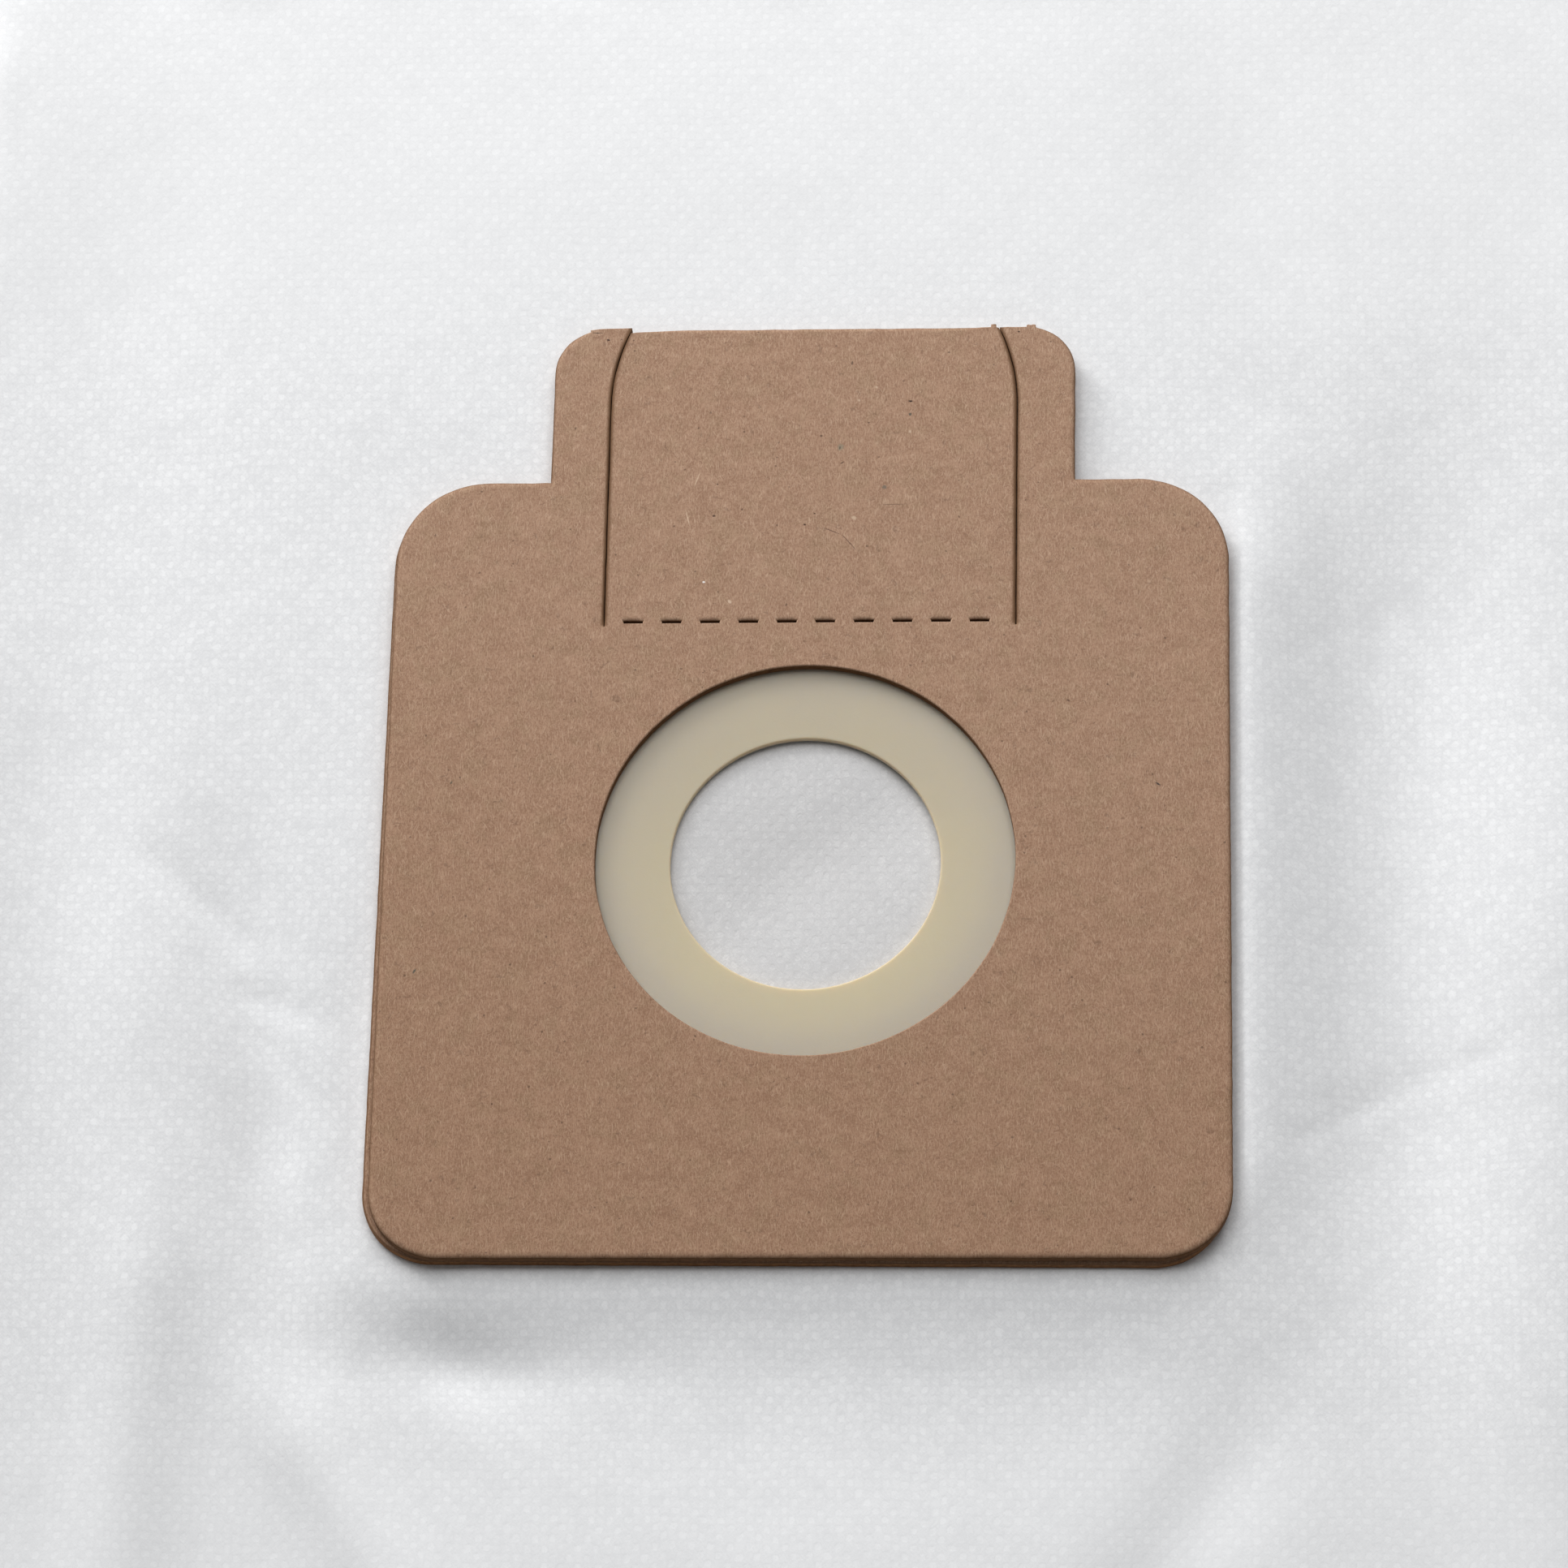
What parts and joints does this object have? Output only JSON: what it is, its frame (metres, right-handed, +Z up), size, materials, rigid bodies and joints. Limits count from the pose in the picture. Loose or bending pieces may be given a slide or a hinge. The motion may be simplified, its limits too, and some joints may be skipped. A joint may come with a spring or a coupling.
{
  "type": "vacuum dust bag",
  "caption": "Flat non-woven vacuum dust bag with a welded edge and a die-cut card collar that holds a rubber seal ring and has a perforated flap.",
  "frame": {"origin": "middle of the bag's footprint, on the surface it lies on", "axes": "+X across the bag, +Y along the bag from the inlet hole towards the collar's flap, +Z up out of the collar's front"},
  "size_m": [0.3, 0.38, 0.009],
  "materials": {
    "card": "matte uncoated kraft card",
    "seal_rubber": "smooth matte cream rubber",
    "cloth": "white non-woven with a fine bonded diamond pattern"
  },
  "bodies": {
    "root": {"front_card": "card", "rear_card": "card", "seal_ring": "seal_rubber", "front_panel": "cloth", "rear_panel": "cloth"}
  },
  "joints": []
}
